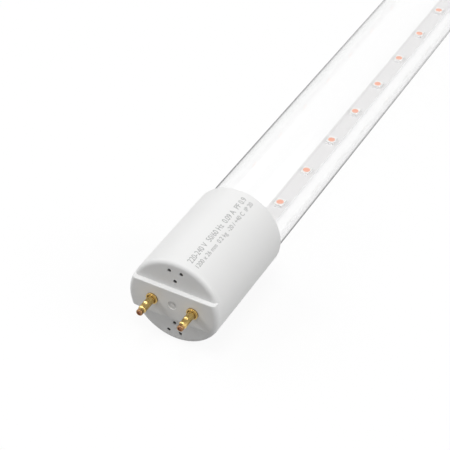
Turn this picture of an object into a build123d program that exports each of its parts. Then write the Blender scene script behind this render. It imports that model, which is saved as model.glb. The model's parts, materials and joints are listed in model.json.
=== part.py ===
from build123d import *
import os
from math import sqrt

# A clear glass LED grow light tube with a two-pin plastic cap on each end. A narrow row of
# light-emitting packages on an aluminium strip is glued along the inside of the glass, and the
# small power supply sits hidden inside one cap.
#
# X runs along the tube, from the supply end to the plain end, and Z is up, the way the packages
# face. The origin is the middle of the tube, on its axis. All sizes are in millimetres.

# Whole tube
body_length = 1199.4  # between the faces of the two end bars

# Glass
glass_diameter = 25.4
glass_wall = 0.7
glass_edge_round = 0.2
glass_setback = 9.0  # from the bar face to the end of the glass

# End cap
cap_length = 39.0
cap_wall = 1.1
glue_gap = 0.2
glue_length = 18.0
glue_setback = 3.0  # from the mouth of the cap to the glue
recess_depth = 1.45  # how far the end bar stands out of the end wall
end_wall = 2.2
bar_width = 10.1
bar_edge_round = 0.3
rim_round = 1.4
mouth_round = 0.4

# Vent holes and the moulding gate mark on the end of the cap
vent_diameter = 1.15
vent_spacing = 3.7
vent_rim_margin = 3.1
vent_bar_margin = 2.6
gate_diameter = 2.8
gate_depth = 0.45
gate_nub_diameter = 1.2
gate_nub_height = 0.3

# Contact pins
pin_spacing = 12.7
pin_diameter = 2.35
pin_length = 7.2
pin_tip_diameter = 2.0
pin_tip_length = 1.4
pin_tip_round = 0.3
pin_eye_diameter = 1.15
pin_shoulder = 0.3
pin_collar_diameter = 3.6
pin_collar_thickness = 0.5
pin_collar_round = 0.12
pin_collar_lip = 0.35  # width of the raised rim of the collar
pin_collar_web = 0.2  # thickness of the collar at the foot of its rim
crimp_radius = 1.6
crimp_depth = 0.3
crimp_reach = 4.1  # from the bar face out to the crimp
pin_shank_diameter = 2.9
pin_flare_diameter = 3.5
pin_flare_thickness = 0.4
pin_clearance = 0.02

# Leads
lead_diameter = 1.2
lead_bend = 2.0
lead_clearance = 0.02
lead_pad_inset = 3.4
strip_lead_bend = 1.2
strip_lead_spacing = 3.2
strip_lead_reach = 3.6
link_reach = 8.0
link_bend = 3.0

# Strip with its light-emitting packages
strip_width = 5.8
strip_thickness = 0.6
strip_setback = 3.0  # from the end of the glass to the end of the strip
strip_seat_gap = 0.1
bead_width = 4.6
bead_setback = 2.0
led_pitch = 19.0
led_end_margin = 52.0
led_length = 3.5
led_width = 2.8
led_height = 0.7
led_corner = 0.5
cup_diameter = 2.3
cup_depth = 0.45
phosphor_height = 0.4
joint_length = 0.5
joint_width = 2.1
joint_height = 0.3

# Supply board and the rails that hold it
board_length = 30.0
board_thickness = 1.0
board_drop = 3.5  # from the axis of the tube down to the top of the board
board_gap = 0.8  # between the pin flares and the board
rail_clearance = 0.5  # between the rails and the glass
rail_length = 18.0
rail_lip = 1.4
rail_grip = 1.3
slot_clearance = 0.05

# Parts on the supply board, from its pin end and its centre line
fuse_diameter = 3.2
fuse_length = 8.0
fuse_neck_diameter = 2.7
fuse_leg_diameter = 0.6
fuse_leg_reach = 1.2
fuse_start = 7.2
fuse_offset = 5.5
bridge_size = (4.8, 4.6, 2.4)
bridge_start = 6.0
film_size = (10.0, 4.6, 8.0)
film_start = 6.4
film_offset = 4.9
film_round = 0.5
chip_size = (3.9, 4.6, 1.5)
chip_start = 12.0
can_diameter = 7.6
can_length = 11.5
can_gap = 0.7  # behind the fuse resistor's rear leg
can_offset = 4.5
can_groove = 0.4
can_groove_place = 2.0
core_size = (10.4, 7.6, 4.2)
core_gap = 1.4  # behind the film capacitor
core_offset = 4.5
core_leg = 1.6
core_centre_leg = 2.6
winding_wrap = 0.9
diode_size = (4.3, 2.6, 2.1)
diode_start = 10.0
diode_offset = 4.0
sense_size = (3.2, 1.6, 0.6)
sense_start = 18.0
sense_spacing = 7.0

# Radii and stations along the tube that follow from the sizes above
can_start = fuse_start + fuse_length + fuse_leg_reach + fuse_leg_diameter / 2 + can_gap
core_start = film_start + film_size[0] + core_gap
glass_radius = glass_diameter / 2
glass_inner_radius = glass_radius - glass_wall
bore_radius = glass_radius + glue_gap
cap_radius = bore_radius + cap_wall
face_x = -body_length / 2
recess_x = face_x + recess_depth
inner_x = recess_x + end_wall
stop_x = face_x + glass_setback
mouth_x = face_x + cap_length
glass_length = body_length - 2 * glass_setback
lead_radius = lead_diameter / 2
pin_bore_radius = lead_radius + lead_clearance
pin_tip_x = face_x - pin_length
pin_bore_x = pin_tip_x + pin_tip_length + pin_shoulder
pin_y = pin_spacing / 2

strip_bottom = strip_seat_gap - sqrt(glass_inner_radius**2 - (strip_width / 2) ** 2)
strip_top = strip_bottom + strip_thickness
strip_length = glass_length - 2 * strip_setback
led_top = strip_top + led_height
led_count = int((strip_length - 2 * led_end_margin) / led_pitch) + 1

board_top = -board_drop
board_bottom = board_top - board_thickness
board_x = inner_x + pin_flare_thickness + board_gap
rail_radius = glass_inner_radius - rail_clearance
rail_low = board_bottom - rail_lip
rail_high = board_top + rail_lip
rail_chord = sqrt(rail_radius**2 - rail_low**2)
slot_half_width = rail_chord - cap_wall
board_width = 2 * (slot_half_width - slot_clearance)

# Looking from outside at the supply end, right is -Y and up is +Z
face_plane = Plane(origin=(face_x, 0, 0), x_dir=(0, -1, 0), z_dir=(-1, 0, 0))
recess_plane = face_plane.offset(-recess_depth)
inner_plane = Plane(origin=(inner_x, 0, 0), x_dir=(0, 1, 0), z_dir=(1, 0, 0))
led_spots = GridLocations(led_pitch, 0, led_count, 1)
vent_pair_level = cap_radius - vent_rim_margin
vent_single_level = bar_width / 2 + vent_bar_margin
vent_spots = [
    (place, side * level)
    for side in (1, -1)
    for place, level in (
        (-vent_spacing / 2, vent_pair_level),
        (vent_spacing / 2, vent_pair_level),
        (0, vent_single_level),
    )
]

made = []


def keep(piece, name):
    """Labels a finished piece and lists it for writing."""
    piece.label = name
    made.append(piece)


def board_spot(start, length, offset):
    """The middle of a part on the board, from the pin end of the board and its centre line."""
    return board_x + start + length / 2, offset


# The raised bar across the end of the cap, rounded where it meets the side
with BuildPart() as end_bar:
    with BuildSketch(Plane.XZ):
        with BuildLine():
            Polyline(
                (face_x, 0),
                (face_x, cap_radius),
                (inner_x, cap_radius),
                (inner_x, 0),
                close=True,
            )
        make_face()
        fillet(vertices().group_by(Axis.Y)[-1].sort_by(Axis.X)[0], rim_round)
    revolve(axis=Axis.X)
    Box(2 * body_length, 2 * cap_radius, bar_width, mode=Mode.INTERSECT)
    fillet(edges().filter_by(Axis.Y).group_by(Axis.X)[0], bar_edge_round)

# The cap: a cup that the glass slides into, with two slotted rails for the supply board
with BuildPart() as supply_end_cap:
    with BuildSketch(Plane.XZ):
        with BuildLine():
            Polyline(
                (recess_x, 0),
                (recess_x, cap_radius),
                (mouth_x, cap_radius),
                (mouth_x, bore_radius),
                (stop_x, bore_radius),
                (stop_x, glass_inner_radius),
                (inner_x, glass_inner_radius),
                (inner_x, 0),
                close=True,
            )
        make_face()
        fillet(vertices().group_by(Axis.Y)[-1].sort_by(Axis.X)[0], rim_round)
        fillet(vertices().group_by(Axis.Y)[-1].sort_by(Axis.X)[-1], mouth_round)
    revolve(axis=Axis.X)
    add(end_bar.part)
    with BuildSketch(inner_plane):
        Circle(rail_radius)
        with Locations((0, (rail_low + rail_high) / 2)):
            Rectangle(2 * rail_radius, rail_high - rail_low, mode=Mode.INTERSECT)
            Rectangle(
                2 * (slot_half_width - rail_grip),
                rail_high - rail_low,
                mode=Mode.SUBTRACT,
            )
        with Locations((0, board_bottom)):
            Rectangle(
                2 * slot_half_width,
                board_thickness + slot_clearance,
                align=(Align.CENTER, Align.MIN),
                mode=Mode.SUBTRACT,
            )
    extrude(amount=rail_length)
    with Locations(recess_plane):
        with Locations(*vent_spots):
            Hole(vent_diameter / 2, end_wall)
    with Locations(face_plane):
        with GridLocations(pin_spacing, 0, 2, 1):
            Hole(pin_shank_diameter / 2 + pin_clearance, recess_depth + end_wall)
        Hole(gate_diameter / 2, gate_depth)
    with BuildSketch(face_plane.offset(-gate_depth)):
        Circle(gate_nub_diameter / 2)
    extrude(amount=gate_nub_height)
keep(supply_end_cap.part, "supply_end_cap")

with BuildPart() as plain_end_cap:
    mirror(supply_end_cap.part, about=Plane.YZ)
keep(plain_end_cap.part, "plain_end_cap")

# The glass, with its cut ends melted slightly round
with BuildPart() as glass_tube:
    with BuildSketch(Plane.YZ.offset(-glass_length / 2)):
        Circle(glass_radius)
        Circle(glass_inner_radius, mode=Mode.SUBTRACT)
    extrude(amount=glass_length)
    fillet(edges().filter_by(GeomType.CIRCLE), glass_edge_round)
keep(glass_tube.part, "glass_tube")

# A ring of glue holds each cap on the glass
with BuildPart() as supply_cap_glue:
    with BuildSketch(Plane.YZ.offset(mouth_x - glue_setback - glue_length)):
        Circle(bore_radius)
        Circle(glass_radius, mode=Mode.SUBTRACT)
    extrude(amount=glue_length)
keep(supply_cap_glue.part, "supply_cap_glue")

with BuildPart() as plain_cap_glue:
    mirror(supply_cap_glue.part, about=Plane.YZ)
keep(plain_cap_glue.part, "plain_cap_glue")


def contact_pin(across):
    """A hollow pin, held in the end bar by its collar and its flare, and crimped on its lead.

    The wall slopes out at its root, where the tube turns into the collar.
    """
    with BuildPart() as pin:
        with BuildSketch(Plane.XZ.offset(-across)):
            with BuildLine():
                Polyline(
                    (pin_tip_x, pin_eye_diameter / 2),
                    (pin_tip_x, pin_tip_diameter / 2),
                    (pin_tip_x + pin_tip_length, pin_tip_diameter / 2),
                    (pin_tip_x + pin_tip_length + pin_shoulder, pin_diameter / 2),
                    (face_x - pin_collar_thickness, pin_diameter / 2),
                    (face_x - pin_collar_web, pin_collar_diameter / 2 - pin_collar_lip),
                    (face_x - pin_collar_thickness, pin_collar_diameter / 2 - pin_collar_lip),
                    (face_x - pin_collar_thickness, pin_collar_diameter / 2),
                    (face_x, pin_collar_diameter / 2),
                    (face_x, pin_shank_diameter / 2),
                    (inner_x, pin_shank_diameter / 2),
                    (inner_x, pin_flare_diameter / 2),
                    (inner_x + pin_flare_thickness, pin_flare_diameter / 2),
                    (inner_x + pin_flare_thickness, pin_bore_radius),
                    (pin_bore_x, pin_bore_radius),
                    (pin_bore_x, pin_eye_diameter / 2),
                    close=True,
                )
            make_face()
            fillet(vertices().group_by(Axis.X)[0].sort_by(Axis.Y)[-1], pin_tip_round)
            fillet(vertices().group_by(Axis.Y)[-1].sort_by(Axis.X)[0], pin_collar_round)
        revolve(axis=Axis((0, across, 0), (1, 0, 0)))
        crimp_level = pin_diameter / 2 - crimp_depth + crimp_radius
        with Locations(
            (face_x - crimp_reach, across, crimp_level),
            (face_x - crimp_reach, across, -crimp_level),
        ):
            Sphere(crimp_radius, mode=Mode.SUBTRACT)
    return pin.part


keep(contact_pin(pin_y), "live_pin")
keep(contact_pin(-pin_y), "neutral_pin")

for across, name in ((pin_y, "plain_end_left_pin"), (-pin_y, "plain_end_right_pin")):
    with BuildPart() as plain_end_pin:
        mirror(contact_pin(across), about=Plane.YZ)
    keep(plain_end_pin.part, name)

# The strip rests on the inside of the glass by its two lower edges, on a bead of glue
with BuildPart() as led_strip_board:
    with BuildSketch(Plane.XY.offset(strip_bottom)):
        Rectangle(strip_length, strip_width)
    extrude(amount=strip_thickness)
keep(led_strip_board.part, "led_strip_board")

# The underside of the bead follows the glass in four flats
with BuildPart() as strip_glue:
    bead_length = strip_length - 2 * bead_setback
    bead_edges = [bead_width * part / 4 for part in (-2, -1, 0, 1, 2)]
    with BuildSketch(Plane.YZ.offset(-bead_length / 2)):
        with BuildLine():
            Polyline(
                (bead_width / 2, strip_bottom),
                (-bead_width / 2, strip_bottom),
                *[(edge, -sqrt(glass_inner_radius**2 - edge**2)) for edge in bead_edges],
                close=True,
            )
        make_face()
    extrude(amount=bead_length)
keep(strip_glue.part, "strip_glue")

# Each light-emitting package is a white housing with a round cup, and one cut corner
with BuildPart() as led_housings:
    with BuildSketch(Plane.XY.offset(strip_top)):
        with led_spots:
            Rectangle(led_length, led_width)
            with Locations((-led_length / 2, led_width / 2)):
                Rectangle(
                    led_corner * sqrt(2),
                    led_corner * sqrt(2),
                    rotation=45,
                    mode=Mode.SUBTRACT,
                )
    extrude(amount=led_height)
    with BuildSketch(Plane.XY.offset(led_top)):
        with led_spots:
            Circle(cup_diameter / 2)
    extrude(amount=-cup_depth, mode=Mode.SUBTRACT)
keep(led_housings.part, "led_housings")

with BuildPart() as led_phosphors:
    with BuildSketch(Plane.XY.offset(led_top - cup_depth)):
        with led_spots:
            Circle(cup_diameter / 2)
    extrude(amount=phosphor_height)
keep(led_phosphors.part, "led_phosphors")

with BuildPart() as led_solder_joints:
    with BuildSketch(Plane.XY.offset(strip_top)):
        with led_spots:
            with GridLocations(led_length + joint_length, 0, 2, 1):
                Rectangle(joint_length, joint_width)
    extrude(amount=joint_height)
keep(led_solder_joints.part, "led_solder_joints")

# The supply board slides into the rails of the cap
with BuildPart() as supply_board:
    with BuildSketch(Plane.XY.offset(board_bottom)):
        with Locations((board_x, 0)):
            Rectangle(board_length, board_width, align=(Align.MIN, Align.CENTER))
    extrude(amount=board_thickness)
keep(supply_board.part, "supply_board")

# The fuse resistor is a dumb-bell shaped body that rests on the board, with two bent legs
fuse_x = board_x + fuse_start
fuse_level = board_top + fuse_diameter / 2
with BuildPart() as fuse_resistor:
    with BuildSketch(Plane.XZ.offset(-fuse_offset)):
        with BuildLine():
            Polyline(
                (fuse_x, fuse_level),
                (fuse_x, fuse_level + fuse_diameter / 2),
                (fuse_x + fuse_length / 4, fuse_level + fuse_diameter / 2),
                (fuse_x + fuse_length / 3, fuse_level + fuse_neck_diameter / 2),
                (fuse_x + fuse_length * 2 / 3, fuse_level + fuse_neck_diameter / 2),
                (fuse_x + fuse_length * 3 / 4, fuse_level + fuse_diameter / 2),
                (fuse_x + fuse_length, fuse_level + fuse_diameter / 2),
                (fuse_x + fuse_length, fuse_level),
                close=True,
            )
        make_face()
    revolve(axis=Axis((0, fuse_offset, fuse_level), (1, 0, 0)))
    for end, way in ((fuse_x, -1), (fuse_x + fuse_length, 1)):
        with BuildLine() as leg:
            FilletPolyline(
                (end - way * fuse_leg_diameter, fuse_offset, fuse_level),
                (end + way * fuse_leg_reach, fuse_offset, fuse_level),
                (end + way * fuse_leg_reach, fuse_offset, board_top),
                radius=fuse_leg_diameter,
            )
        with BuildSketch(Plane(origin=leg.line @ 0, z_dir=leg.line % 0)):
            Circle(fuse_leg_diameter / 2)
        sweep(path=leg.line)
keep(fuse_resistor.part, "fuse_resistor")


def block_on_board(size, start, offset, edge=0.0):
    """A plain moulded body that stands on the top of the board."""
    length, width, height = size
    with BuildPart() as block:
        with BuildSketch(Plane.XY.offset(board_top)):
            with Locations(board_spot(start, length, offset)):
                Rectangle(length, width)
        extrude(amount=height)
        if edge:
            fillet(edges().filter_by(Axis.Z), edge)
    return block.part


def block_under_board(size, spots):
    """Plain moulded bodies on the underside of the board, one at each spot."""
    length, width, height = size
    with BuildPart() as block:
        with BuildSketch(Plane.XY.offset(board_bottom)):
            with Locations(*spots):
                Rectangle(length, width)
        extrude(amount=-height)
    return block.part


keep(block_on_board(bridge_size, bridge_start, 0), "bridge_rectifier")
keep(block_on_board(film_size, film_start, -film_offset, film_round), "film_capacitor")
keep(block_on_board(chip_size, chip_start, 0), "driver_chip")
diode_spot = board_spot(diode_start, diode_size[0], diode_offset)
keep(block_under_board(diode_size, [diode_spot]), "output_diode")
sense_spots = [
    board_spot(sense_start, sense_size[0], side * sense_spacing / 2) for side in (1, -1)
]
keep(block_under_board(sense_size, sense_spots), "sense_resistors")

# The storage capacitor is a can lying on the board, with the crimp groove near one end
can_x = board_x + can_start
can_radius = can_diameter / 2
can_level = board_top + can_radius
with BuildPart() as storage_capacitor:
    with BuildSketch(Plane.XZ.offset(-can_offset)):
        with BuildLine():
            Polyline(
                (can_x, can_level),
                (can_x, can_level + can_radius),
                (can_x + can_groove_place - can_groove, can_level + can_radius),
                (can_x + can_groove_place, can_level + can_radius - can_groove),
                (can_x + can_groove_place + can_groove, can_level + can_radius),
                (can_x + can_length, can_level + can_radius),
                (can_x + can_length, can_level),
                close=True,
            )
        make_face()
    revolve(axis=Axis((0, can_offset, can_level), (1, 0, 0)))
keep(storage_capacitor.part, "storage_capacitor")

# The choke: a double-E ferrite core lying on the board, with its winding on the centre leg
core_length, core_width, core_height = core_size
core_spot = board_spot(core_start, core_length, -core_offset)
core_window = (core_width - 2 * core_leg - core_centre_leg) / 2
core_window_place = (core_centre_leg + core_window) / 2
winding_length = core_length - 2 * core_leg
with BuildPart() as choke_core:
    with BuildSketch(Plane.XY.offset(board_top + winding_wrap)):
        with Locations(core_spot):
            Rectangle(core_length, core_width)
            with Locations((0, core_window_place), (0, -core_window_place)):
                Rectangle(winding_length, core_window, mode=Mode.SUBTRACT)
    extrude(amount=core_height)
keep(choke_core.part, "choke_core")

with BuildPart() as choke_winding:
    with BuildSketch(Plane.XY.offset(board_top)):
        with Locations(core_spot):
            Rectangle(winding_length, core_centre_leg + 2 * core_window)
    extrude(amount=core_height + 2 * winding_wrap)
    with BuildSketch(Plane.XY.offset(board_top + winding_wrap)):
        with Locations(core_spot):
            Rectangle(winding_length, core_centre_leg)
    extrude(amount=core_height, mode=Mode.SUBTRACT)
keep(choke_winding.part, "choke_winding")


def lead(*route, bend):
    """A round insulated lead along straight runs joined by equal arcs."""
    with BuildPart() as wire:
        with BuildLine() as path:
            FilletPolyline(*route, radius=bend)
        with BuildSketch(Plane(origin=path.line @ 0, z_dir=path.line % 0)):
            Circle(lead_radius)
        sweep(path=path.line)
    return wire.part


# A lead runs from deep inside each pin down to its pad on the board
pad_x = board_x + lead_pad_inset
for across, name in ((pin_y, "live_lead"), (-pin_y, "neutral_lead")):
    pin_lead = lead(
        (pin_bore_x, across, 0), (pad_x, across, 0), (pad_x, across, board_top), bend=lead_bend
    )
    keep(pin_lead, name)

# Two leads carry the supply's output down to the strip below the board
outlet_x = board_x + board_length - strip_lead_reach
inlet_x = outlet_x + strip_lead_reach
step_level = (board_bottom + strip_top) / 2
for across, name in (
    (strip_lead_spacing / 2, "strip_lead_positive"),
    (-strip_lead_spacing / 2, "strip_lead_negative"),
):
    strip_lead = lead(
        (outlet_x, across, board_bottom),
        (outlet_x, across, step_level),
        (inlet_x, across, step_level),
        (inlet_x, across, strip_top),
        bend=strip_lead_bend,
    )
    keep(strip_lead, name)

# The two pins of the plain end are joined by one short link
link_x = -(inner_x + link_reach)
link_lead = lead(
    (-pin_bore_x, pin_y, 0),
    (link_x, pin_y, 0),
    (link_x, -pin_y, 0),
    (-pin_bore_x, -pin_y, 0),
    bend=link_bend,
)
keep(link_lead, "plain_end_link_lead")

os.makedirs("parts", exist_ok=True)
for piece in made:
    export_step(piece, f"parts/{piece.label}.step")
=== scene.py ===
# %% [markdown]
# # A clear LED grow light tube
# This file dresses the solid model of a grow light tube so that it looks like the real one: clear
# glass, satin white end caps with brass pins, and a narrow white strip with a row of pink LEDs.
# It is meant to be read from top to bottom. Each step first says what the thing is on the real
# tube, and then builds it. All places are in metres, in the frame of the solid model: X runs
# along the tube, Y along the line of the pins, and Z is up, the way the LEDs face.

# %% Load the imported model
import json
import math
import bpy
from mathutils import Euler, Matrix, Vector


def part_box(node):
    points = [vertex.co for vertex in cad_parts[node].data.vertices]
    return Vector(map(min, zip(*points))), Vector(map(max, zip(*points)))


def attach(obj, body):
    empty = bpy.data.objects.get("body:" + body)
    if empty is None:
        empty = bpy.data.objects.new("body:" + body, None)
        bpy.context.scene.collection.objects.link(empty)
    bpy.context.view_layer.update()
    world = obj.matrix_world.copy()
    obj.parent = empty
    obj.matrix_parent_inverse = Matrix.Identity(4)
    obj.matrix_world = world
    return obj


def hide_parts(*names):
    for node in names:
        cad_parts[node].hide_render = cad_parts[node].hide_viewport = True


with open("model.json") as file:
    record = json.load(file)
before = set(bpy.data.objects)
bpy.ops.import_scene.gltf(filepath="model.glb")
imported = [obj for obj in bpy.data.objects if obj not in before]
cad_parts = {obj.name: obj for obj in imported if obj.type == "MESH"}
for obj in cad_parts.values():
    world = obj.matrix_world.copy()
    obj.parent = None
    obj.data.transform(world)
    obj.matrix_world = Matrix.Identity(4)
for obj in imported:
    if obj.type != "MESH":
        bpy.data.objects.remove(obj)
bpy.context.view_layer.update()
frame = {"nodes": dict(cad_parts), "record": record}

nodes = frame["nodes"]

# %% [markdown]
# ## Sizes
# The solid model already knows where everything is, so each size is read from the box of a node.
# Only the few sizes that a box can't tell, such as the thickness of the glass wall, are written
# down. A new piece that is built from them sits exactly where its neighbours expect it.

# %% Read the main sizes
MM = 0.001


def size_of(node):
    """The lowest and highest corners of a node, and its lengths along X, Y and Z."""
    low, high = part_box(node)
    return low, high, high - low


cap_low, cap_high, cap_size = size_of("supply_end_cap")
glass_low, glass_high, glass_size = size_of("glass_tube")
cap_radius = cap_size.y / 2
glass_radius = glass_size.y / 2
glass_wall = 0.7 * MM
floor_level = cap_low.z
bar_face = -cap_low.x  # how far the bars' faces are from the middle, at both ends
print("cap radius", round(cap_radius / MM, 2), "glass radius", round(glass_radius / MM, 2))

# %% [markdown]
# ## The camera
# The photograph looks down on one end of the tube from in front and a little to the side, and the
# rest of the tube runs out of the picture. Where the camera stood was worked out from the pins,
# the cap and the LEDs. It is a long lens about 0.4 m from the near end, so lines that run along
# the tube draw together only slowly.

# %% Place the camera
camera_place = (-0.862941, -0.147256, 0.274703)
camera_turns = (50.8085, -1.702, -61.9772)  # degrees about X, Y and Z
camera_data = bpy.data.cameras.new("camera")
camera_data.sensor_width = 36.0
camera_data.lens = 118.78
camera_data.clip_start = 0.01
camera_data.clip_end = 100.0
camera = bpy.data.objects.new("camera", camera_data)
bpy.context.scene.collection.objects.link(camera)
camera.location = camera_place
camera.rotation_euler = Euler([math.radians(turn) for turn in camera_turns])
bpy.context.scene.camera = camera
bpy.context.scene.view_settings.view_transform = "Standard"
print("camera", [round(value, 3) for value in camera.location])

# %% [markdown]
# ## A small language for materials
# A material in Blender is a web of nodes. Written out one by one they hide what the material does,
# so two small classes help. A `Flow` is a value on its way through the web, and ordinary maths on
# it adds the Math nodes. A `Finish` is the material itself, and its `add` makes any other node:
# first the node's own settings, then the values or flows that go into its sockets.

# %% Define the helpers for materials
class Flow:
    """A value in a material. Maths on it adds Math nodes, in either order."""

    def __init__(self, finish, socket):
        self.finish, self.socket = finish, socket

    def maths(self, operation, first, second=0.0):
        """The result of a Math node on one or two values."""
        return self.finish.add("ShaderNodeMath", {"operation": operation}, {0: first, 1: second})

    def __add__(self, other):
        return self.maths("ADD", self, other)

    def __radd__(self, other):
        return self.maths("ADD", other, self)

    def __sub__(self, other):
        return self.maths("SUBTRACT", self, other)

    def __rsub__(self, other):
        return self.maths("SUBTRACT", other, self)

    def __mul__(self, other):
        return self.maths("MULTIPLY", self, other)

    def __rmul__(self, other):
        return self.maths("MULTIPLY", other, self)

    def __truediv__(self, other):
        return self.maths("DIVIDE", self, other)

    def __rtruediv__(self, other):
        return self.maths("DIVIDE", other, self)

    def __pow__(self, other):
        return self.maths("POWER", self, other)

    def __abs__(self):
        return self.maths("ABSOLUTE", self)

    def either(self, other):
        """The larger of two values, for masks that add to each other."""
        return self.maths("MAXIMUM", self, other)

    def also(self, name):
        """Another output of the node that this value comes from."""
        return Flow(self.finish, self.finish.find(self.socket.node.outputs, name))

    def apart(self, spacing):
        """How far a place is from the nearest whole multiple of a spacing."""
        turns = self / spacing + 0.5
        return abs(self.maths("FRACT", turns) - 0.5) * spacing


class Finish:
    """A material, or the world, under construction."""

    def __init__(self, name, owner=None):
        self.owner = owner or bpy.data.materials.new(name)
        self.owner.use_nodes = True
        self.tree = self.owner.node_tree
        self.tree.nodes.clear()

    def add(self, kind, settings=None, sockets=None, output=None):
        """Makes a node, sets it up, fills its sockets and returns one of its outputs."""
        node = self.tree.nodes.new(kind)
        for name, value in (settings or {}).items():
            setattr(node, name, value)
        for name, value in (sockets or {}).items():
            socket = self.find(node.inputs, name)
            if isinstance(value, Flow):
                self.tree.links.new(value.socket, socket)
            elif isinstance(value, tuple) and socket.type == "RGBA":
                socket.default_value = (*value, 1.0)
            else:
                socket.default_value = value
        if not node.outputs:
            return None
        return Flow(self, node.outputs[0] if output is None else self.find(node.outputs, output))

    @staticmethod
    def find(sockets, name):
        """A socket by its number, its identifier or its name."""
        if isinstance(name, int):
            return sockets[name]
        return next(each for each in sockets if name in (each.identifier, each.name))

    def place(self, stretch=(1.0, 1.0, 1.0)):
        """The place on the object, in metres, stretched along each axis."""
        spot = self.add("ShaderNodeTexCoord", output="Object")
        return self.add("ShaderNodeMapping", {}, {"Vector": spot, "Scale": stretch})

    def xyz(self):
        """The place on the object along X, Y and Z, each as a flow."""
        along = self.add("ShaderNodeSeparateXYZ", {}, {0: self.place()})
        return along, along.also("Y"), along.also("Z")

    def noise(self, scale, detail, rough=0.5, where=None):
        """Soft irregular blotches, 0 to 1, with this many to a metre."""
        where = where or self.place()
        sockets = {"Vector": where, "Scale": scale, "Detail": detail, "Roughness": rough}
        return self.add("ShaderNodeTexNoise", {}, sockets, "Fac")

    def blend(self, share, first, second):
        """One colour passing into another as share goes from 0 to 1."""
        sockets = {"Factor_Float": share, "A_Color": first, "B_Color": second}
        return self.add("ShaderNodeMix", {"data_type": "RGBA"}, sockets, "Result_Color")

    def step(self, value, low, high):
        """0 below low, 1 above high, and a smooth rise between."""
        settings = {"interpolation_type": "SMOOTHSTEP"}
        sockets = {"Value": value, "From Min": low, "From Max": high}
        return self.add("ShaderNodeMapRange", settings, sockets)

    def bump(self, height, depth, strength):
        """A normal that makes height look like relief of this depth, in metres."""
        sockets = {"Height": height, "Distance": depth, "Strength": strength}
        return self.add("ShaderNodeBump", {}, sockets)

    def surface(self, colour, roughness, **others):
        """A Principled shader. An underscore in a socket's name stands for a space."""
        sockets = {"Base Color": colour, "Roughness": roughness}
        sockets.update({name.replace("_", " "): value for name, value in others.items()})
        return self.add("ShaderNodeBsdfPrincipled", {}, sockets)

    def mix(self, share, first, second):
        """One shader passing into another as share goes from 0 to 1."""
        return self.add("ShaderNodeMixShader", {}, {0: share, 1: first, 2: second})

    def done(self, shader, output="ShaderNodeOutputMaterial"):
        """Sends the shader to the surface and returns the finished material."""
        self.add(output, {}, {"Surface": shader})
        return self.owner


print("material helpers are ready")

# %% [markdown]
# ## Moulded white plastic
# The caps are injection moulded in white plastic with a satin skin. It scatters light softly, and
# a close look shows a very fine grain from the mould and slight clouds where the melt cooled
# unevenly. Both are kept far below what the eye picks out at arm's length, because strong noise is
# what gives a made-up plastic away. The same recipe serves for other moulded parts.
#
# The walls of the vents and the inside of the cap get painted shade: a mask takes the colour down
# there, where little light reaches.

# %% Make the moulded plastics
recess_depth = 1.45 * MM  # from the bar face in to the wall that holds the vents
unshaded_skin = 1.6 * MM  # the outer part of the cap's wall, which gets no painted shade
shade_starts, shade_full = 0.1 * MM, 0.4 * MM  # how far in the painted shade begins and is at its darkest
shade_share = 0.36  # how much of its own light the plastic keeps under the painted shade


def darker(colour, share):
    """The same colour with this share of its light."""
    return tuple(part * share for part in colour)


def moulded_plastic(name, colour, roughness, cloud=0.965, grain=0.02 * MM, painted_shade=None):
    """Moulded plastic with faint clouds, a fine grain from the mould and painted shade where a mask
    says.
    """
    finish = Finish(name)
    clouds = finish.noise(90.0, 2.0)
    skin = finish.noise(2600.0, 2.0, 0.6)
    shade = finish.blend(clouds, darker(colour, cloud), colour)
    if painted_shade:
        # painted shade: darker where the mask is 1
        shade = finish.blend(painted_shade(finish), shade, darker(colour, shade_share))
    relief = finish.bump(skin, grain, 0.35)
    return finish.done(finish.surface(shade, roughness - 0.05 + 0.1 * skin, Normal=relief))


def inside_cap(finish):
    """The mask for painted shade: 1 on the walls of the vents and inside the cap, 0 on its outside.
    """
    along, across, up = finish.xyz()
    depth = bar_face - abs(along)
    deep = finish.step(depth, recess_depth + shade_starts, recess_depth + shade_full)
    from_axis = (across**2 + up**2) ** 0.5
    inner = cap_radius - unshaded_skin
    return deep * (1.0 - finish.step(from_axis, inner - shade_full, inner))


finishes = {
    "cap_plastic": moulded_plastic("cap_plastic", (0.82, 0.82, 0.815), 0.42, painted_shade=inside_cap),
    "led_body": moulded_plastic("led_body", (0.88, 0.875, 0.86), 0.3),
    "package_black": moulded_plastic("package_black", (0.014, 0.014, 0.015), 0.5, cloud=0.7),
}
print("made", sorted(finishes))

# %% [markdown]
# ## Brass pins
# The contact pins are drawn brass tube. Drawing leaves very fine lines along the pin, and months in
# a holder leave dark streaks beside them, so both noises are stretched along X. The corner behind
# the collar gets painted shade, where little light reaches. The tip was squeezed onto its wire
# while hot, which turned both a brown copper colour.

# %% Make the metals of the pins
pin_tip = -size_of("live_pin")[0].x  # how far the tips are from the middle, at both ends
corner_shade_reach = 1.2 * MM  # how far out of the bar face the painted shade in the corner reaches
browned_reach = 1.5 * MM  # how far back from the tip the brass is browned
clean_brass = (0.80, 0.59, 0.22)
# the dark streaks and the painted shade in the corner both take this colour
tarnish_and_shade_brass = (0.24, 0.14, 0.045)
browned_brass = (0.24, 0.11, 0.06)


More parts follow.
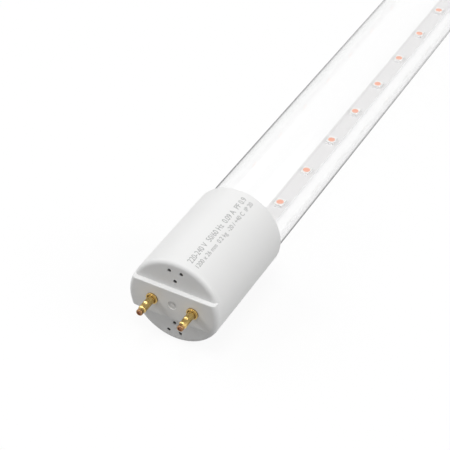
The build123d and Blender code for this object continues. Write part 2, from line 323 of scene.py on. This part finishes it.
def drawn_brass(name):
    """Brass with lines and dark streaks along X, painted shade near the cap and a browned tip."""
    finish = Finish(name)
    along, _, _ = finish.xyz()
    lines = finish.noise(1.0, 2.0, 0.6, finish.place((60.0, 5000.0, 5000.0)))
    worn = finish.noise(1.0, 3.0, 0.7, finish.place((650.0, 2300.0, 2300.0)))
    # painted shade in the corner behind the collar, next to the bar face
    corner = 1.0 - finish.step(abs(along), bar_face, bar_face + corner_shade_reach)
    dull = (finish.step(worn, 0.36, 0.72) * 0.75).either(corner * 0.8)
    browned = finish.step(abs(along), pin_tip - browned_reach, pin_tip - browned_reach / 4)
    shade = finish.blend(dull, clean_brass, tarnish_and_shade_brass)
    shade = finish.blend(browned * 0.85, shade, browned_brass)
    relief = finish.bump(lines + worn, 0.02 * MM, 0.5)
    return finish.done(
        finish.surface(shade, 0.14 + 0.1 * lines + 0.16 * dull, Metallic=1.0, Normal=relief)
    )


def bare_copper(name):
    """Stranded copper that was snipped off: bright, with painted shade in the hollows between
    strands.
    """
    finish = Finish(name)
    strands = finish.noise(4200.0, 1.0)
    # painted shade: the low places of the strands' relief are darker
    shade = finish.blend(finish.step(strands, 0.4, 0.6), (0.10, 0.04, 0.03), (0.42, 0.19, 0.12))
    relief = finish.bump(strands, 0.1 * MM, 0.7)
    return finish.done(finish.surface(shade, 0.3, Metallic=1.0, Normal=relief))


finishes["pin_brass"] = drawn_brass("pin_brass")
copper = bare_copper("bare_copper")
print("pins reach", round((pin_tip - bar_face) / MM, 2), "mm out of the bar face")

# %% [markdown]
# ## Clear glass
# Glass shows itself at its edges. Seen face on it is almost invisible, and where the outer skin
# curves away from the eye the light is caught inside the wall and led round it, so a photograph of
# a tube on white paper shows a thin dark line there. Here the line is painted shade: a Layer Weight
# finds that place and a dark shader is mixed in. Only the outer skin has the line, or the inner one
# would draw a second line beside it. It is darkest next to the caps, which keep light out of the
# glass, and gets weaker further along.
#
# Light for the strip inside has to get through. A Light Path node makes the glass simply clear for
# shadow rays and for rays that come from a matt surface. Both are needed: if only one of them went
# straight through, each lamp would count twice inside the tube.

# %% Make the glass
cap_mouth = -cap_high.x  # how far from the middle the caps begin
line_fades = 200.0 * MM  # how far from the bar face the line is at its weakest
line_share, halo_share = 0.32, 0.05  # how dark the thin line and the soft halo beside it are


def clear_glass(name):
    """Clear glass that lets light through, with a thin line of painted shade where it curves away.
    """
    finish = Finish(name)
    body = finish.surface((0.998, 0.998, 0.998), 0.0, IOR=1.5, Transmission_Weight=1.0)
    # the dark shader that paints the shade of the line and its halo
    dark = finish.surface((0.1, 0.105, 0.11), 0.5, Specular_IOR_Level=0.0)
    facing = finish.add("ShaderNodeLayerWeight", {}, {"Blend": 0.5}, "Facing")
    along, across, up = finish.xyz()
    from_axis = (across**2 + up**2) ** 0.5
    skin = finish.step(from_axis, glass_radius - glass_wall, glass_radius - glass_wall / 2)
    near_cap = finish.step(abs(along), bar_face - line_fades, cap_mouth)
    line = finish.step(facing, 0.78, 0.88) * line_share
    halo = finish.step(facing, 0.5, 0.85) * halo_share
    shell = finish.mix((line + halo) * skin * (1.0 + near_cap), body, dark)
    clear = finish.add("ShaderNodeBsdfTransparent", {}, {"Color": (0.98, 0.98, 0.98)})
    ray = finish.add("ShaderNodeLightPath", output="Is Shadow Ray")
    return finish.done(finish.mix(ray.either(ray.also("Is Diffuse Ray")), shell, clear))


finishes["clear_glass"] = clear_glass("clear_glass")
print("made the glass")

# %% [markdown]
# ## The strip and its LEDs
# The strip is a ribbon of aluminium board under white solder mask. The copper below the mask stands
# up a little: one broad track from LED to LED, a gap under each LED, and a narrow return track
# along one side. The LEDs sit at whole multiples of their spacing from the middle, so the gaps are
# found from X alone. The strip was cut out of a larger sheet, so its long sides are bare metal.
# Each LED's cup is filled with clear silicone full of pink phosphor powder, which is grainy and
# slightly shiny.

# %% Make the strip's finishes
led_pitch = 19.0 * MM
strip_edge = size_of("led_strip_board")[2].y / 2  # how far its long sides are from the middle
bare_side = 0.03 * MM  # how thin a skin of each long side is bare metal
bare_metal = (0.91, 0.91, 0.92)


def masked_board(name, colour, return_track, gap):
    """White solder mask over copper tracks that stand up a little, on a sheet with bare sides."""
    finish = Finish(name)
    along, across, _ = finish.xyz()
    cut = 1.0 - finish.step(along.apart(led_pitch), gap * 0.6, gap)
    side = 1.0 - finish.step(abs(across - return_track), gap * 0.3, gap * 0.7)
    track = 1.0 - cut.either(side)
    weave = finish.noise(1400.0, 3.0, 0.6)
    shade = finish.blend(track, darker(colour, 0.9), colour)
    shade = finish.blend(weave * 0.5, shade, darker(colour, 0.94))
    bare = finish.step(abs(across), strip_edge - bare_side, strip_edge - bare_side / 3)
    shade = finish.blend(bare, shade, bare_metal)
    relief = finish.bump(track + weave * 0.1, 0.04 * MM, 0.6)
    return finish.done(finish.surface(shade, 0.34 + 0.12 * weave, Metallic=bare, Normal=relief))


def phosphor_gel(name, bright, deep):
    """Clear silicone full of pink powder."""
    finish = Finish(name)
    powder = finish.step(finish.noise(5200.0, 3.0, 0.7), 0.35, 0.7)
    shade = finish.blend(powder, deep, bright)
    relief = finish.bump(finish.noise(800.0, 1.0), 0.05 * MM, 0.4)
    return finish.done(finish.surface(shade, 0.3, Normal=relief))


def bright_solder(name):
    """Solder that froze with a slightly rippled skin."""
    finish = Finish(name)
    ripple = finish.noise(1800.0, 2.0)
    shade = finish.blend(ripple, (0.68, 0.68, 0.69), (0.86, 0.86, 0.87))
    relief = finish.bump(ripple, 0.12 * MM, 0.5)
    return finish.done(finish.surface(shade, 0.34 + 0.15 * ripple, Metallic=1.0, Normal=relief))


finishes["strip_board"] = masked_board("strip_board", (0.785, 0.777, 0.777), 2.1 * MM, 0.35 * MM)
finishes["led_phosphor"] = phosphor_gel("led_phosphor", (0.93, 0.46, 0.32), (0.87, 0.33, 0.20))
finishes["solder"] = bright_solder("solder")
print("LED gaps every", led_pitch / MM, "mm")

# %% [markdown]
# ## Glue and lead insulation
# Cured silicone glue and the rubbery skins of the leads have no grain of their own, only a soft
# unevenness in colour and height. Little of them shows: the glue between the strip and the glass,
# and the leads inside the caps.

# %% Make the rubbery finishes
def soft_rubber(name, colour):
    """Cured glue or lead insulation, slightly uneven."""
    finish = Finish(name)
    clouds = finish.noise(700.0, 2.0)
    shade = finish.blend(clouds, darker(colour, 0.85), colour)
    relief = finish.bump(clouds, 0.1 * MM, 0.4)
    return finish.done(finish.surface(shade, 0.5, Normal=relief))


for slot, colour in {
    "cap_glue": (0.84, 0.84, 0.82),
    "strip_glue": (0.80, 0.81, 0.82),
    "lead_white": (0.78, 0.78, 0.76),
    "lead_black": (0.014, 0.014, 0.014),
    "lead_red": (0.42, 0.025, 0.018),
}.items():
    finishes[slot] = soft_rubber(slot, colour)
print("finishes so far:", len(finishes))

# %% [markdown]
# ## The hidden supply
# Whoever looks into the glass from the far end sees the supply inside its cap: a green board with
# tracks, a capacitor in a dark sleeve, a copper winding on dark ferrite, and a few black packages.
# Each has one mark of its own that tells it apart, found from the place on the object: the bare
# end of the can, the pale stripe on its sleeve, the turns of the wire, the tinned legs.

# %% Make the board and the dipped parts
def printed_board(name):
    """Glass-fibre board with a green mask over branching tracks."""
    finish = Finish(name)
    cells = finish.add(
        "ShaderNodeTexVoronoi",
        {"distance": "MANHATTAN", "feature": "F1"},
        {"Vector": finish.place(), "Scale": 420.0},
        "Distance",
    )
    track = finish.step(cells, 0.42, 0.5)
    shade = finish.blend(track, (0.025, 0.135, 0.05), (0.012, 0.075, 0.03))
    relief = finish.bump(track, 0.04 * MM, 0.6)
    return finish.done(finish.surface(shade, 0.32, Normal=relief))


def tipped_part(name, node, body, tip, reach, roughness):
    """A lacquered or moulded body whose two ends along X are bare metal."""
    low, high, size = size_of(node)
    finish = Finish(name)
    along, _, _ = finish.xyz()
    middle, half = (low.x + high.x) / 2, size.x / 2
    bare = finish.step(abs(along - middle), half - reach, half - reach + 0.1 * MM)
    clouds = finish.noise(900.0, 2.0)
    shade = finish.blend(clouds, darker(body, 0.8), body)
    shade = finish.blend(bare, shade, tip)
    relief = finish.bump(clouds, 0.08 * MM, 0.4)
    return finish.done(finish.surface(shade, roughness, Metallic=bare, Normal=relief))


finishes["board_green"] = printed_board("board_green")
tinned = (0.60, 0.60, 0.60)
finishes["fuse_coat"] = tipped_part(
    "fuse_coat", "fuse_resistor", (0.09, 0.20, 0.14), tinned, 1.6 * MM, 0.28
)
finishes["resistor_body"] = tipped_part(
    "resistor_body", "sense_resistors", (0.014, 0.014, 0.016), tinned, 0.5 * MM, 0.4
)
finishes["film_box"] = moulded_plastic(
    "film_box", (0.42, 0.035, 0.02), 0.25, cloud=0.8, grain=0.1 * MM
)
print("board, fuse, resistors and film capacitor are ready")

# %% Make the can, the ferrite and the winding
def sleeved_can(name, node):
    """A dark sleeve with one pale stripe, and a bare aluminium end."""
    low, high, size = size_of(node)
    finish = Finish(name)
    along, across, up = finish.xyz()
    middle, level = (low.y + high.y) / 2, (low.z + high.z) / 2
    out = ((across - middle) ** 2 + (up - level) ** 2) ** 0.5
    inner, outer = size.y * 0.36, size.y * 0.38  # where the sleeve ends on the can's end face
    bare = 1.0 - finish.step(out, inner, outer)
    stripe = finish.step(across, middle + inner, middle + outer)
    brushed = finish.noise(1.0, 2.0, 0.5, finish.place((3000.0, 500.0, 500.0)))
    sleeve = finish.blend(stripe, (0.014, 0.018, 0.04), (0.42, 0.44, 0.46))
    shade = finish.blend(bare, sleeve, (0.72, 0.72, 0.73))
    relief = finish.bump(brushed, 0.02 * MM, 0.3)
    return finish.done(finish.surface(shade, 0.28 + 0.1 * brushed, Metallic=bare, Normal=relief))


def copper_turns(name, pitch):
    """Turns of lacquered wire side by side along X, with painted shade in the grooves between them.
    """
    finish = Finish(name)
    along, _, _ = finish.xyz()
    turn = along.apart(pitch) / pitch * 2.0
    height = (1.0 - turn**2) ** 0.5
    # painted shade: darker towards the groove between two turns
    shade = finish.blend(turn, (0.55, 0.19, 0.07), (0.18, 0.05, 0.02))
    relief = finish.bump(height, pitch / 2, 0.8)
    return finish.done(finish.surface(shade, 0.25, Metallic=0.8, Normal=relief))


def pressed_ferrite(name):
    """Dark grey ferrite, dull and finely pitted."""
    finish = Finish(name)
    pits = finish.noise(3200.0, 4.0, 0.7)
    shade = finish.blend(pits, (0.016, 0.016, 0.018), (0.034, 0.034, 0.037))
    relief = finish.bump(pits, 0.06 * MM, 0.6)
    return finish.done(finish.surface(shade, 0.5 + 0.2 * pits, Normal=relief))


finishes["can_sleeve"] = sleeved_can("can_sleeve", "storage_capacitor")
finishes["winding"] = copper_turns("winding", 0.4 * MM)
finishes["ferrite"] = pressed_ferrite("ferrite")
print("finishes:", len(finishes))

# %% [markdown]
# ## Finish every solid
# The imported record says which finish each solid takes, so one loop dresses them all. The solids
# themselves stay exactly as they are.

# %% Give every node its finish
subparts = frame["record"]["subparts"]
for part in subparts:
    node = nodes[part["node"]]
    node.data.materials.clear()
    node.data.materials.append(finishes[part["material_slot"]])
print("finished nodes:", len(subparts))

# %% [markdown]
# ## Modelling helpers
# New pieces are made with the same operators that a person uses by hand. Operators act on whatever
# is selected, and loading the model leaves its nodes selected, so every piece starts by deselecting
# everything. A finished piece sits at the origin with its place in its mesh, like the nodes do.

# %% Define the helpers for pieces
sharp_edge = math.radians(50)  # an edge that turns more than this stays sharp to the eye


def clear_selection():
    """Leaves nothing selected."""
    if bpy.context.object and bpy.context.object.mode != "OBJECT":
        bpy.ops.object.mode_set(mode="OBJECT")
    bpy.ops.object.select_all(action="DESELECT")


def pick(piece):
    """Makes one object the selected and active one."""
    clear_selection()
    piece.select_set(True)
    bpy.context.view_layer.objects.active = piece


def apply_modifiers(piece):
    """Applies every modifier, from the first to the last."""
    pick(piece)
    for modifier in [each.name for each in piece.modifiers]:
        bpy.ops.object.modifier_apply(modifier=modifier)


def settle(piece, name, material):
    """Applies the piece's place, names it, finishes it and ties it to the model."""
    pick(piece)
    bpy.ops.object.transform_apply(location=True, rotation=True, scale=True)
    piece.name = piece.data.name = name
    piece.data.materials.clear()
    piece.data.materials.append(material)
    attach(piece, "root")


print("piece helpers are ready")

# %% [markdown]
# ## The glass tube
# The tube is one long pipe of thin glass. Bent light shows every flat of a coarse pipe, so it is
# made again here from a cylinder with many sides. Solidify gives it its real wall, inwards, and a
# small bevel rounds the cut ends as a flame would. The bevel would tilt the shading of the whole
# long wall, because the wall has no corners in between, so a Weighted Normal modifier lets the
# large faces decide.

# %% Model the glass tube
glass_sides = 160
along_tube = (0.0, math.pi / 2, 0.0)  # turns a cylinder's length from Z to X
clear_selection()
bpy.ops.mesh.primitive_cylinder_add(
    vertices=glass_sides,
    radius=glass_radius,
    depth=glass_size.x,
    end_fill_type="NOTHING",
    location=(glass_low + glass_high) / 2,
    rotation=along_tube,
)
glass = bpy.context.object
wall = glass.modifiers.new("wall", "SOLIDIFY")
wall.thickness = glass_wall
wall.offset = -1.0
rounding = glass.modifiers.new("rounding", "BEVEL")
rounding.width = 0.2 * MM
rounding.segments = 2
rounding.limit_method = "ANGLE"
rounding.angle_limit = math.radians(60)
apply_modifiers(glass)
bpy.ops.object.shade_smooth_by_angle(angle=sharp_edge)
evening = glass.modifiers.new("evening", "WEIGHTED_NORMAL")
evening.keep_sharp = True
apply_modifiers(glass)
settle(glass, "clear_glass_tube", finishes["clear_glass"])
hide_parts("glass_tube")
print("glass tube faces:", len(glass.data.polygons))

# %% [markdown]
# ## The wire ends in the pins
# Each pin is hollow, and the bare end of its lead sits inside, just short of the open tip. The wire
# starts as a cylinder of its own width. Its cut end is drawn in and pushed out a little, as snips
# leave it, and a bevel takes the sharp edges off. One wire end is modelled in the first pin, and
# the other three are copies that are moved to theirs.

# %% Model one wire end
core_radius = 0.5 * MM
core_sides = 32
core_start = 0.35 * MM  # how far inside the tip the wire ends
core_length = 1.3 * MM
snip_inset = core_radius * 0.45  # how far in from its edge the cut end is drawn
snip_push = core_radius * 0.3  # and how far it is pushed out


def pin_place(pin):
    """Where the middle of a pin's wire end is."""
    low, high, _ = size_of(pin)
    outward = 1.0 if high.x > 0 else -1.0
    along = outward * (pin_tip - core_start - core_length / 2)
    return Vector((along, (low.y + high.y) / 2, (low.z + high.z) / 2))


first_place = pin_place("live_pin")
clear_selection()
bpy.ops.mesh.primitive_cylinder_add(
    vertices=core_sides,
    radius=core_radius,
    depth=core_length,
    location=first_place,
    rotation=along_tube,
)
first_wire = bpy.context.object
bpy.ops.object.mode_set(mode="EDIT")
bpy.ops.mesh.select_all(action="DESELECT")
bpy.ops.object.mode_set(mode="OBJECT")
for face in first_wire.data.polygons:
    face.select = abs(face.normal.z) > 0.9  # its own Z still runs along the wire
bpy.ops.object.mode_set(mode="EDIT")
bpy.ops.mesh.select_mode(type="FACE")
bpy.ops.mesh.inset(thickness=snip_inset, depth=snip_push)
bpy.ops.object.mode_set(mode="OBJECT")
rounding = first_wire.modifiers.new("rounding", "BEVEL")
rounding.width = 0.06 * MM
rounding.segments = 2
apply_modifiers(first_wire)
bpy.ops.object.shade_smooth_by_angle(angle=sharp_edge)
settle(first_wire, "wire_end_live", copper)
print("wire end faces:", len(first_wire.data.polygons))

# %% Copy it into the other pins
for name, pin in {
    "wire_end_neutral": "neutral_pin",
    "wire_end_plain_left": "plain_end_left_pin",
    "wire_end_plain_right": "plain_end_right_pin",
}.items():
    pick(first_wire)
    bpy.ops.object.duplicate(linked=False)
    bpy.ops.transform.translate(value=pin_place(pin) - first_place)
    settle(bpy.context.object, name, copper)
print("wire ends start", core_start / MM, "mm inside the pins")

# %% [markdown]
# ## The print on the cap
# Two long rows of small grey print run along the cap: plain ratings, such as any tube of this size
# has. They could be painted on by a material, but printed ink has a crisp edge that only a very
# fine mask would keep. So each row is text that is made a mesh and cut into thin bands that can
# bend, then a Shrinkwrap lays it on the cap and Solidify gives the ink its thickness.

# %% Make the ink
def stamped_ink(name, colour):
    """Thin grey ink that covers a little unevenly."""
    finish = Finish(name)
    cover = finish.noise(2400.0, 3.0, 0.7)
    shade = finish.blend(cover, darker(colour, 0.8), darker(colour, 1.2))
    return finish.done(finish.surface(shade, 0.4))


ink = stamped_ink("print_ink", (0.37, 0.37, 0.37))
print("made", ink.name)

# %% Print the rows
ink_thickness = 0.02 * MM
ink_bands = 5
letter_height = 1.75 * MM
row_lift = 1.0 * MM  # how far above the cap a row starts before it is laid on it


def print_row(name, words, start, length, turn):
    """One row of words that starts at this distance from the bar face, turned down from the top."""
    clear_selection()
    bpy.ops.object.text_add()
    row = bpy.context.object
    row.data.body = words
    row.data.align_x, row.data.align_y = "CENTER", "CENTER"
    bpy.ops.object.convert(target="MESH")
    row = bpy.context.object
    low = [min(corner[axis] for corner in row.bound_box) for axis in range(2)]
    high = [max(corner[axis] for corner in row.bound_box) for axis in range(2)]
    bpy.ops.object.mode_set(mode="EDIT")
    bpy.ops.mesh.select_all(action="SELECT")
    middle = [(low[axis] + high[axis]) / 2 for axis in range(2)]
    bpy.ops.transform.translate(value=(-middle[0], -middle[1], 0.0))
    stretch = (length / (high[0] - low[0]), letter_height / (high[1] - low[1]), 1.0)
    bpy.ops.transform.resize(value=stretch, center_override=(0.0, 0.0, 0.0))
    bpy.ops.mesh.remove_doubles(threshold=0.001 * MM)
    for band in range(1, ink_bands):
        bpy.ops.mesh.select_all(action="SELECT")
        level = letter_height * (band / ink_bands - 0.5)
        bpy.ops.mesh.bisect(plane_co=(0.0, level, 0.0), plane_no=(0.0, 1.0, 0.0))
    bpy.ops.object.mode_set(mode="OBJECT")
    away = cap_radius + row_lift
    along = start + length / 2 - bar_face
    row.location = (along, -math.sin(turn) * away, math.cos(turn) * away)
    row.rotation_euler = (turn, 0.0, 0.0)
    lay = row.modifiers.new("lay", "SHRINKWRAP")
    lay.wrap_method = "PROJECT"
    lay.use_project_z = True
    lay.use_negative_direction, lay.use_positive_direction = True, False
    lay.target = nodes["supply_end_cap"]
    thicken = row.modifiers.new("thicken", "SOLIDIFY")
    thicken.thickness = ink_thickness
    thicken.offset = 1.0
    apply_modifiers(row)
    settle(row, name, ink)
    print(name, "faces:", len(row.data.polygons))


for name, words, start, length, degrees in (
    ("print_row_upper", "220-240 V  50/60 Hz  0.09 A  PF 0.9", 4.3 * MM, 32.2 * MM, 11.5),
    ("print_row_lower", "1200 x 26 mm  0.2 kg  -20 / +40 C  IP 20", 4.2 * MM, 32.1 * MM, 22.5),
):
    print_row(name, words, start, length, math.radians(degrees))

# %% [markdown]
# ## Floor and light
# The photograph is taken on white, in soft light from above and from both sides. Three broad lamps
# and an even sky give that. A small lamp low in front makes the faint shadows of the pins on the
# bar behind them. Two lamps with a narrow spread do the same for the far end, which the photograph
# doesn't show, and leave the near end alone.
#
# The floor is a pale sheet. The rays that show a background, straight from the camera, from a
# mirror or through glass, see it almost white with only a trace of the shadow, as in a product
# picture. Light that bounces between surfaces sees the darker sheet, so the underside of the tube
# keeps its shade.

# %% Lay the floor
floor_width = 60.0
white_share = 0.9  # how much of the seen floor is plain white, the rest keeps the shadow


def shows_background(finish):
    """1 for the rays that show a background to the camera, directly, mirrored or through glass."""
    ray = finish.add("ShaderNodeLightPath", output="Is Camera Ray")
    return ray.either(ray.also("Is Glossy Ray")).either(ray.also("Is Transmission Ray"))


def pale_floor(name):
    """A pale floor that the camera sees as nearly white, with a soft shadow left on it."""
    finish = Finish(name)
    seen = shows_background(finish)
    paper = finish.noise(30.0, 3.0)
    sheet = finish.blend(paper, (0.24, 0.24, 0.24), (0.26, 0.26, 0.26))
    shade = finish.blend(seen, sheet, (0.95, 0.95, 0.95))
    matt = finish.add("ShaderNodeBsdfDiffuse", {}, {"Color": shade})
    glow = finish.add("ShaderNodeEmission", {}, {"Color": (1.0, 1.0, 1.0), "Strength": 1.0})
    return finish.done(finish.mix(seen * white_share, matt, glow))


clear_selection()
bpy.ops.mesh.primitive_plane_add(size=floor_width, location=(0.0, 0.0, floor_level))
floor = bpy.context.object
floor.name = floor.data.name = "floor"
floor.data.materials.append(pale_floor("pale_floor"))
print("floor at", round(floor_level / MM, 2), "mm")

# %% Light the scene
world = bpy.data.worlds.new("studio")
bpy.context.scene.world = world
sky = Finish("studio", world)
sky_light = 0.26  # what the sky gives the object, where a seen background is 1
brightness = sky_light + shows_background(sky) * (1.0 - sky_light)
air = sky.add("ShaderNodeBackground", {}, {"Color": (1.0, 1.0, 1.0), "Strength": brightness})
sky.done(air, "ShaderNodeOutputWorld")


def soft_lamp(name, place, aim, width, power, spread=180.0):
    """A square lamp that faces a point and throws its light this wide, in degrees."""
    data = bpy.data.lights.new(name, "AREA")
    data.size = width
    data.energy = power
    data.spread = math.radians(spread)
    lamp = bpy.data.objects.new(name, data)
    bpy.context.scene.collection.objects.link(lamp)
    lamp.location = place
    lamp.rotation_euler = (Vector(aim) - Vector(place)).to_track_quat("-Z", "Y").to_euler()
    return lamp


lit_end = (-0.55, 0.0, 0.0)
far_end = (0.55, 0.0, 0.0)
far_spread = 60.0
lamps = (
    soft_lamp("upper_left_lamp", (-0.6, 1.2, 1.0), lit_end, 1.2, 10.0),
    soft_lamp("overhead_lamp", (-0.85, 0.0, 1.5), lit_end, 0.6, 7.1),
    soft_lamp("upper_right_lamp", (-0.5, -1.3, 0.9), lit_end, 1.0, 12.0),
    soft_lamp("front_lamp", (-1.6, 0.77, 0.7), lit_end, 0.3, 2.3),
    soft_lamp("far_left_lamp", (1.0, 0.8, 1.0), far_end, 0.8, 0.9, far_spread),
    soft_lamp("far_right_lamp", (1.0, -0.8, 1.0), far_end, 0.8, 0.9, far_spread),
)
print("lamps:", [lamp.name for lamp in lamps])
